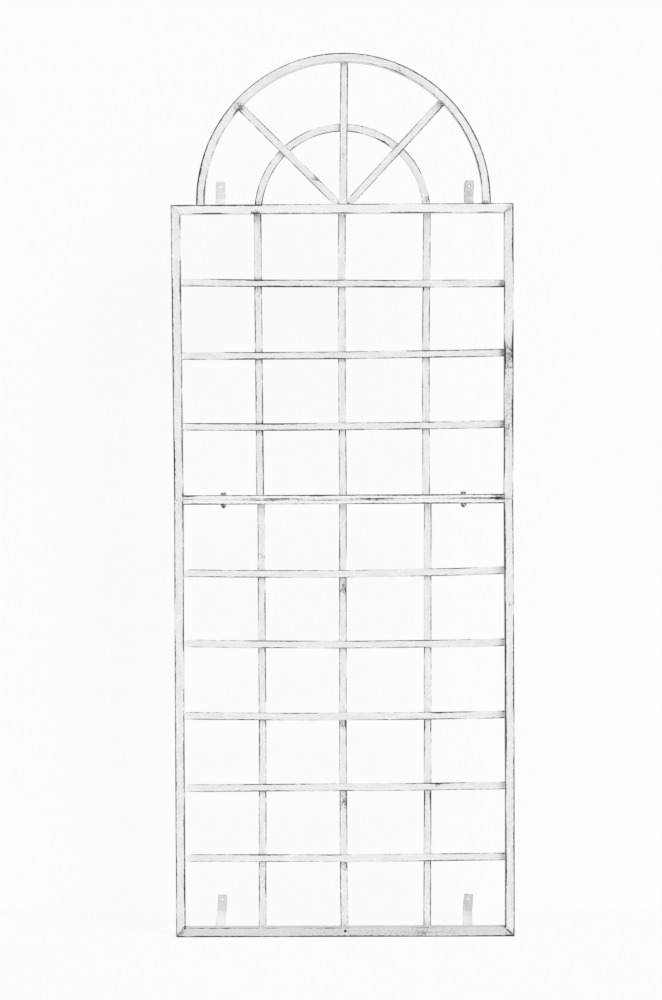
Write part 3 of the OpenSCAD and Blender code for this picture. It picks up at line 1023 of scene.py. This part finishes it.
BEAD_SIDES = 10
BEAD_STEP = 0.9
BEAD_CAP = 0.5
# How a bead swells: its even ripple with its length, and its uneven one with its step
EVEN_SWELL, EVEN_LENGTH = 0.13, 2.4
LOOSE_SWELL, LOOSE_STEP = 0.1, 3
ANY_WAY = (0.31, 0.52, 0.79)
BEAD_DUST, BEAD_DUST_SWING, BEAD_DUST_STEP = 0.3, 0.2, 9
BEAD_ARRIS = 9.0


class Beads:
    """Short rippled beads, gathered into one piece."""

    def __init__(self, seed):
        self.verts, self.faces, self.count, self.seed = [], [], 0, seed

    def run(self, p, q, r):
        """A bead of radius r from p to q."""
        p, q = np.array(p, float), np.array(q, float)
        way = q - p
        length = np.linalg.norm(way)
        way /= length
        side = np.cross(way, ANY_WAY)
        side /= np.linalg.norm(side)
        up = np.cross(way, side)
        rings = max(6, int(length / BEAD_STEP))
        base = len(self.verts)
        key = self.seed + 11 * self.count
        self.verts.append(p - way * r * BEAD_CAP)
        for i in range(rings):
            s = (i + 0.5) / rings
            even = EVEN_SWELL * sin(s * length * 2 * pi / EVEN_LENGTH + key)
            loose = LOOSE_SWELL * float(wander(s * length, key, LOOSE_STEP))
            swell = (1 - abs(2 * s - 1) ** 5) ** 0.5 * (1 + even + loose)
            for j in range(BEAD_SIDES):
                g = j * 2 * pi / BEAD_SIDES
                out = side * cos(g) + up * sin(g)
                self.verts.append(p + way * length * s + r * swell * out)
        self.verts.append(q + way * r * BEAD_CAP)
        tip = len(self.verts) - 1
        first, last = base + 1, tip - BEAD_SIDES
        for i in range(rings - 1):
            self.faces += belt(first + i * BEAD_SIDES, first + (i + 1) * BEAD_SIDES, BEAD_SIDES)
        for j in range(BEAD_SIDES):
            k = (j + 1) % BEAD_SIDES
            self.faces += [(base, first + k, first + j), (tip, last + j, last + k)]
        self.count += 1

    def along(self, axis, centre, half, r):
        """A bead along x, y or z, by its centre and half its length."""
        step = np.zeros(3)
        step["xyz".index(axis)] = half
        self.run(np.array(centre) - step, np.array(centre) + step, r)

    def make(self, name, body):
        ob = add(name, self.verts, self.faces, body, "white_paint")
        p = points(ob)
        n = len(p)
        dirt_and_shade = BEAD_DUST + BEAD_DUST_SWING * wander(p[:, 0] + p[:, 2], self.seed, BEAD_DUST_STEP)
        dress(ob, p, np.full(n, BEAD_ARRIS), np.zeros(n), dirt_and_shade, self.seed)


# How far the middle of a bead lies off a face, a bar's end, a bar's edge and a tube's side
OFF_FACE, OFF_END, OFF_EDGE, OFF_TUBE = 0.3, 0.4, 0.1, 0.2
# Beads of the spokes: half the length at the arch, the radius, and the slanted ones' reaches by the hub
SPOKE_END_HALF, SPOKE_BEAD_R = 7.0, 1.6
HUB_NEAR, HUB_FAR, HUB_LOW, HUB_HIGH, HUB_BEAD_R = 9, 18, 2, 12, 1.5
# Beads of the joint rails: how far from the seam, and how far in from the faces
SEAM_END_Z, SEAM_END_IN = 5.0, 0.5
# Beads of a bracket's foot: from and to above its lower edge, and their radius
STRAP_LOW, STRAP_HIGH, STRAP_BEAD_R = 1.5, 12, 1.5
SIDES = ((-1, "left", 0.0), (1, "right", 1.0))


def weld_cross_bar(beads, panel, node):
    lo, hi = corners(node)
    mid = middle(node)[2]
    for side, word, s in SIDES:
        x, z = side * (HALF_IN - OFF_FACE) + pinch(panel, word, mid), mid + stray(node, s)
        beads.along("z", (x, CROSS_FRONT - OFF_TUBE, z), half=7, r=1.3)
        beads.along("z", (x, LAP + OFF_END, z), half=7, r=1.6)
    for name in UPRIGHTS:
        up = f"{panel}_{name}_bar"
        up_lo, up_hi = corners(up)
        x = middle(up)[0] + stray(up, (mid - up_lo[2]) / (up_hi[2] - up_lo[2]))
        z = mid + stray(node, (x - lo[0]) / (hi[0] - lo[0]))
        beads.along("x", (x, LAP - OFF_FACE, z - BAR_HALF - OFF_EDGE), half=5, r=1.1)
        for side in (-1, 1):
            beads.along("z", (x + side * (BAR_HALF + OFF_EDGE), LAP + OFF_FACE, z), half=6, r=1.3)


def weld_uprights(beads, panel, low, high):
    for name in UPRIGHTS:
        up = f"{panel}_{name}_bar"
        for z, s in ((low + OFF_FACE, 0.0), (high - OFF_FACE, 1.0)):
            for y in (LAP - OFF_END, BAR_BACK + OFF_END):
                beads.along("x", (middle(up)[0] + stray(up, s), y, z), half=7, r=1.5)


def weld_arches(beads):
    for side, word, s in SIDES:
        x = ARCH_X + side * (INNER_MID + stray("inner_arch", s))
        for y in (inner_lo[1] - OFF_END, inner_hi[1] + OFF_END):
            beads.along("x", (x, y, FOOT_Z), half=7, r=1.6)
        x = ARCH_X + side * OUTER_MID
        around = OUTER_HALF + OFF_TUBE
        for y in (-around, around):
            beads.along("x", (x, y, FOOT_Z), half=8, r=1.5)
        for edge in (x - around, x + around):
            beads.along("y", (edge, 0, FOOT_Z), half=8, r=1.5)


def weld_spoke(beads, lean, place, end):
    tips = []
    for a in (-SPOKE_END_HALF, SPOKE_END_HALF):
        a = np.array([a])
        tips.append([v[0] for v in place(end(a, a), a, a * 0)])
    for y in (SPOKE_Y - SPOKE_HALF_Y - OFF_FACE, SPOKE_Y + SPOKE_HALF_Y + OFF_FACE):
        p, q = [(tip[0], y, tip[2]) for tip in tips]
        beads.run(p, q, SPOKE_BEAD_R)
        if lean:
            near, far = [ARCH_X + copysign(d, lean) for d in (HUB_NEAR, HUB_FAR)]
            beads.run((near, y, FOOT_Z), (far, y, FOOT_Z), SPOKE_BEAD_R)
            beads.run((near, y, RAIL_TOP + HUB_LOW), (near, y, RAIL_TOP + HUB_HIGH), HUB_BEAD_R)
        else:
            beads.along("x", (ARCH_X, y, FOOT_Z), half=7, r=1.6)


def weld_joint_rail(beads, z):
    for side, word, s in SIDES:
        x = side * HALF_IN + pinch("upper", word, SEAM)
        for y in (-TUBE_HALF + SEAM_END_IN, TUBE_HALF - SEAM_END_IN):
            beads.along("z", (x, y, z), half=3.8, r=1.1)


def weld_bracket(beads, node):
    lo, hi = corners(node)
    reach = (hi[0] - lo[0]) / 2 + OFF_TUBE
    low, high = lo[2] + STRAP_LOW, lo[2] + STRAP_HIGH
    for off in (-reach, reach):
        ends = [(strap_x(node, z) + off, lo[1] + OFF_FACE, z) for z in (low, high)]
        beads.run(*ends, STRAP_BEAD_R)


FOOT_Z = RAIL_TOP + OFF_FACE
UPRIGHT_SPAN = {
    "upper": (corners("upper_joint_rail")[1][2], RAIL_TOP - 2 * TUBE_HALF),
    "lower": (2 * TUBE_HALF, corners("lower_joint_rail")[0][2]),
}
welds = {UPPER: Beads(71), LOWER: Beads(83)}
for panel, body in PANELS.items():
    for node in cross_bars(panel):
        weld_cross_bar(welds[body], panel, node)
    weld_uprights(welds[body], panel, *UPRIGHT_SPAN[panel])
weld_arches(welds[UPPER])
for node, (place, end) in SPOKE_ENDS.items():
    weld_spoke(welds[UPPER], SPOKES[node][0], place, end)
weld_joint_rail(welds[UPPER], SEAM + SEAM_END_Z)
weld_joint_rail(welds[LOWER], SEAM - SEAM_END_Z)
for node, strap in BRACKETS.items():
    weld_bracket(welds[strap.body], node)
welds[UPPER].make("upper_welds", UPPER)
welds[LOWER].make("lower_welds", LOWER)


# Fasteners

SPIN = 48
STEEL_STEP = 53.0
# The bolt's thread, and its neck below the head
THREAD_R, PITCH, THREAD_DEPTH, THREAD_STEP = 3.0, 1.0, 0.55, 0.125
TIP_LENGTH, TIP_INSET = 0.8, 0.5
THREAD_END, NECK_LOW, NECK_R = 0.3, 0.1, 2.95
# Hexagons: share of the width inside the chamfer, its slope, and the edge under a head
CROWN, CHAMFER, HEAD_EDGE = 0.95, tan(pi / 6), 0.2
# The dip in the top of a head: depths and shares of the width
HEAD_DIP = ((0.05, 0.7), (0.15, 0.3))
NUT_BORE, NUT_MOUTH = 3.05, 0.5
# A washer's sharp edges, its worn hole and its rolled rim
WASHER_EDGE, WASHER_MOUTH, WASHER_RIM = 0.15, 0.3, 0.35
RIM_DROP, RIM_IN = 0.1, 0.5
GREY, BRIGHT = 1.0, 0.0


def turned(name, node, body, profile, closed, seed, dull):
    """A steel piece turned round its node's upright middle line.

    Each row of the profile holds a height and a radius, or functions of the angle for them. A closed
    profile joins its last row to its first; an open one is capped.
    """
    x = middle(node)[0]
    verts, faces = [], []
    for z, radius in profile:
        for j in range(SPIN):
            g = j * 2 * pi / SPIN
            r = radius(g) if callable(radius) else radius
            verts.append((x + r * cos(g), r * sin(g), z(g) if callable(z) else z))
    n = len(profile)
    for i in range(n if closed else n - 1):
        faces += belt(i * SPIN, (i + 1) % n * SPIN, SPIN)
    if not closed:
        faces += [tuple(range(SPIN)), tuple(range((n - 1) * SPIN, n * SPIN))]
    ob = add(name, verts, faces, body, "dark_steel", (node,))
    p = points(ob)
    write(ob.data, "path", p + np.array([seed * STEEL_STEP, 0, 0]))
    write(ob.data, "dull", np.full(len(p), dull))


def hexagon(low, high, flat_half, low_chamfer):
    """The outside of a hexagon head or nut, its corners along x, with turned chamfers."""
    crown = CROWN * flat_half

    def side(g):
        return flat_half / cos((g % (pi / 3)) - pi / 6)

    def fall(g):
        return max(0.0, side(g) - crown) * CHAMFER

    if low_chamfer:
        rows = [(low, crown), (lambda g: low + fall(g), side)]
    else:
        rows = [(low, lambda g: side(g) - HEAD_EDGE), (low + HEAD_EDGE, side)]
    return rows + [(lambda g: high - fall(g), side), (high, crown)]


def thread(low, high):
    """A cut thread: the radius falls and rises along a helix."""
    rows = []
    n = round((high - low) / THREAD_STEP)
    for i in range(n + 1):
        z = low + (high - low) * i / n
        taper = min(1.0, (z - low) / TIP_LENGTH)

        def radius(g, z=z, taper=taper):
            phase = (z / PITCH - g / (2 * pi)) % 1
            return THREAD_R - TIP_INSET * (1 - taper) - THREAD_DEPTH * abs(2 * phase - 1) * taper

        rows.append((z, radius))
    return rows


def bolt_piece(node, body, seed):
    lo, hi = corners(node)
    flat_half = (hi[1] - lo[1]) / 2
    seat = corners(node + "_washer")[1][2]
    profile = thread(lo[2], seat - THREAD_END) + [(seat - NECK_LOW, NECK_R)]
    profile += hexagon(seat, hi[2], flat_half, False)
    profile += [(hi[2] - depth, share * flat_half) for depth, share in HEAD_DIP]
    turned(node + "_hex", node, body, profile, False, seed, GREY)


def washer_piece(node, body, seed, dull):
    lo, hi = corners(node)
    low, high, out = lo[2], hi[2], (hi[0] - lo[0]) / 2
    profile = [(low, BOLT_HOLE_R + WASHER_EDGE), (low + WASHER_EDGE, BOLT_HOLE_R)]
    profile += [(high - WASHER_MOUTH, BOLT_HOLE_R), (high, BOLT_HOLE_R + WASHER_MOUTH)]
    profile += [(high, out - WASHER_RIM - RIM_IN), (high - RIM_DROP, out - WASHER_RIM / 2)]
    profile += [(high - WASHER_RIM, out), (low + WASHER_EDGE, out), (low, out - WASHER_EDGE)]
    turned(node + "_ring", node, body, profile, True, seed, dull)


def nut_piece(node, body, seed):
    lo, hi = corners(node)
    profile = hexagon(lo[2], hi[2], (hi[1] - lo[1]) / 2, True)
    profile += [(hi[2], NUT_BORE + NUT_MOUTH), (hi[2] - NUT_MOUTH, NUT_BORE)]
    profile += [(lo[2] + NUT_MOUTH, NUT_BORE), (lo[2], NUT_BORE + NUT_MOUTH)]
    turned(node + "_hex", node, body, profile, True, seed, BRIGHT)


for seed, side in enumerate(("left", "right")):
    bolt_piece(f"{side}_bolt", f"{side}_bolt", seed)
    washer_piece(f"{side}_bolt_washer", f"{side}_bolt", 3 + seed, GREY)
    washer_piece(f"{side}_nut_washer", f"{side}_nut_washer", 6 + seed, BRIGHT)
    nut_piece(f"{side}_nut", f"{side}_nut", 9 + seed)


# Floor and wall, in metres

WALL_Y = 0.226
REACH = 6.0


def sheet_piece(name, pts, mat):
    me = bpy.data.meshes.new(name)
    me.from_pydata(pts, [], [(0, 1, 2, 3)])
    me.materials.append(mat)
    ob = link(name, me)
    return ob


sheet_piece(
    "floor", [(-REACH, -REACH, 0), (REACH, -REACH, 0), (REACH, REACH, 0), (-REACH, REACH, 0)],
    backdrop("floor_white", False),
)
wall = sheet_piece(
    "wall", [(-REACH, WALL_Y, 0), (REACH, WALL_Y, 0), (REACH, WALL_Y, REACH), (-REACH, WALL_Y, REACH)],
    backdrop("wall_white", True),
)
wall.visible_diffuse = False
wall.visible_shadow = False


# Light: white surroundings that light less than they show, and one broad light from the right

WORLD_FILL = 0.64
KEY_SIDE, KEY_HEIGHT = radians(50), radians(36)

world = bpy.data.worlds.new("studio")
bpy.context.scene.world = world
world.use_nodes = True
tree = world.node_tree
surround = tree.nodes["Background"]
surround.inputs["Color"].default_value = (1, 1, 1, 1)
strength = calc(tree, "MULTIPLY_ADD", seen_directly(tree), 1 - WORLD_FILL, WORLD_FILL)
tree.links.new(strength, surround.inputs["Strength"])

key = bpy.data.lights.new("key", "SUN")
key.energy = 1.7
key.angle = radians(36)
key_ob = link("key", key)
level = cos(KEY_HEIGHT)
towards = Vector((sin(KEY_SIDE) * level, -cos(KEY_SIDE) * level, sin(KEY_HEIGHT)))
key_ob.rotation_euler = towards.to_track_quat("Z", "Y").to_euler()


# Camera: the photo's focal length and height in pixels, the place in mm

PHOTO_F = 1801.9
PHOTO_H = 1000.0
SENSOR = 36
CAMERA = (4.153, -3918.225, 1089.382)
YAW, TILT, ROLL = radians(-0.453), radians(1.943), radians(-0.278)

ahead = Vector((sin(YAW) * cos(TILT), cos(YAW) * cos(TILT), -sin(TILT)))
right = Vector((cos(YAW), -sin(YAW), 0))
up = right.cross(ahead)
image_x = right * cos(ROLL) + up * sin(ROLL)
image_y = up * cos(ROLL) - right * sin(ROLL)
cam_data = bpy.data.cameras.new("camera")
cam_data.sensor_fit = "VERTICAL"
cam_data.sensor_height = SENSOR
cam_data.lens = PHOTO_F / PHOTO_H * SENSOR
cam_data.clip_start = 0.05
cam_data.clip_end = 60
cam = link("camera", cam_data)
turn = Matrix((image_x, image_y, -ahead)).transposed()
cam.matrix_world = Matrix.Translation(Vector(CAMERA) * MM) @ turn.to_4x4()
bpy.context.scene.camera = cam
bpy.context.scene.view_settings.view_transform = "Standard"
